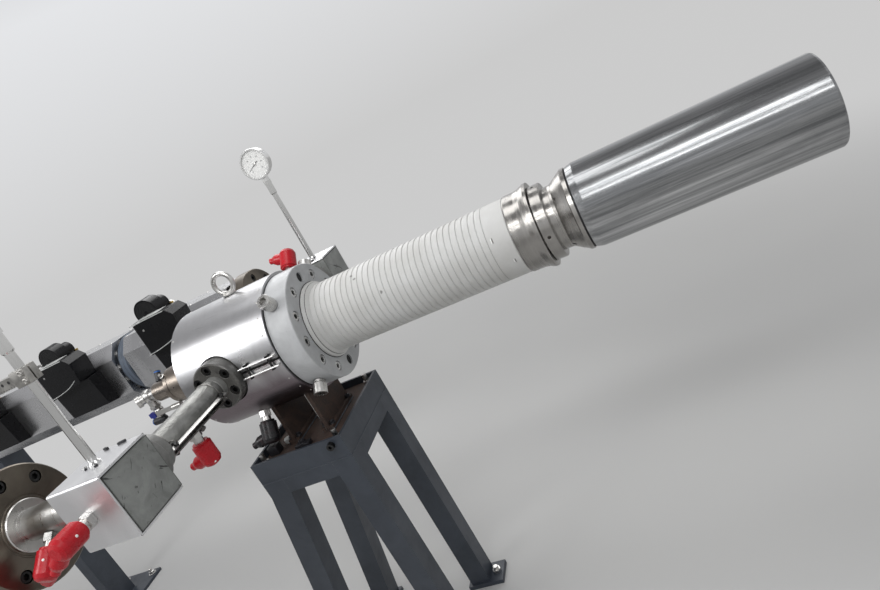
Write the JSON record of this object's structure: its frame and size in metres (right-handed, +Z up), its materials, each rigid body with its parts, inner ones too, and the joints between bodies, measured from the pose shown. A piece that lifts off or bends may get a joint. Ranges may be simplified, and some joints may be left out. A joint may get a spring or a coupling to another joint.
{
  "type": "twin-feed pipe extrusion head with heated barrels",
  "caption": "Pipe extrusion head with ribbed sleeve and cooling mandrel on a steel stand, fed from both sides by heated extruder barrels through adapter blocks.",
  "frame": {"origin": "on the floor, under the middle of the whole machine's box", "axes": "+X along the head's axis towards the cooling mandrel's free end, +Y across towards the far barrel, +Z up"},
  "size_m": [3.4498, 1.5256, 1.542],
  "materials": {
    "head_steel": "dull heat-stained",
    "polished_sheet": "polished",
    "grey_paint": "satin, scuffed",
    "dark_steel": "blackened",
    "bright_steel": "satin",
    "bronze": "heat-tinted",
    "blue_grip": "matte",
    "white_coat": "matte",
    "machined_steel": "turned",
    "black_rubber": "matte",
    "polished_steel": "polished, with fine turning marks",
    "stand_paint": "satin",
    "rusty_plate": "rusty",
    "dull_sheet": "dull",
    "gauge_white": "gloss",
    "red_silicone": "satin",
    "oiled_steel": "oiled",
    "black_paint": "satin",
    "black_plastic": "matte",
    "brass_fitting": "satin",
    "blue_grey_paint": "satin"
  },
  "bodies": {
    "machine": {"head_body": "head_steel", "heater_jacket": "polished_sheet", "jacket_closure": "polished_sheet", "closure_clips": "dark_steel", "head_flange": "grey_paint", "flange_screws": "dark_steel", "centring_bolts": "bright_steel", "lifting_eye": "bright_steel", "rear_hub": "bronze", "hub_screws": "dark_steel", "water_tee": "bright_steel", "valve_body": "bright_steel", "hose_fittings": "black_plastic", "ribbed_sleeve": "white_coat", "smooth_collar": "white_coat", "outer_lip": "machined_steel", "inner_lip": "machined_steel", "mandrel_cone": "machined_steel", "seal_ring": "black_rubber", "cooling_mandrel": "polished_steel", "mandrel_cap": "machined_steel", "stand_top_frame": "stand_paint", "mounting_plate": "rusty_plate", "saddle_plates": "rusty_plate", "adjusting_bolts": "dark_steel", "stand_bolts": "bright_steel", "stand_rails": "stand_paint", "front_legs": "stand_paint", "back_legs": "stand_paint", "stand_feet": "stand_paint", "feed_flanges": "grey_paint", "feed_flange_screws": "dark_steel", "feed_pipes": "grey_paint", "pipe_covers": "dull_sheet", "cover_edges": "bright_steel", "adapter_blocks": "grey_paint", "adapter_covers": "polished_sheet", "gauge_stems": "bright_steel", "stem_clamps": "machined_steel", "pressure_gauges": "bright_steel", "gauge_faces": "gauge_white", "plug_glands": "bright_steel", "heater_plugs": "red_silicone", "neck_pipes": "machined_steel", "barrel_flanges": "oiled_steel", "barrel_flange_screws": "dark_steel", "barrels": "head_steel", "zone_covers": "polished_sheet", "cover_eyes": "bright_steel", "thermocouples": "brass_fitting", "joint_flanges": "blue_grey_paint", "blowers": "black_paint", "blower_fans": "black_paint", "barrel_posts": "stand_paint", "barrel_feet": "stand_paint", "barrel_end_flanges": "grey_paint"},
    "lever": {"valve_lever": "blue_grip"}
  },
  "joints": [
    {"name": "valve_turn", "type": "hinge", "parent": "machine", "child": "lever", "pos_m": [-0.15408, -0.0015, 0.998], "axis": [0, 1, 0], "range_deg": [0, 90]}
  ]
}
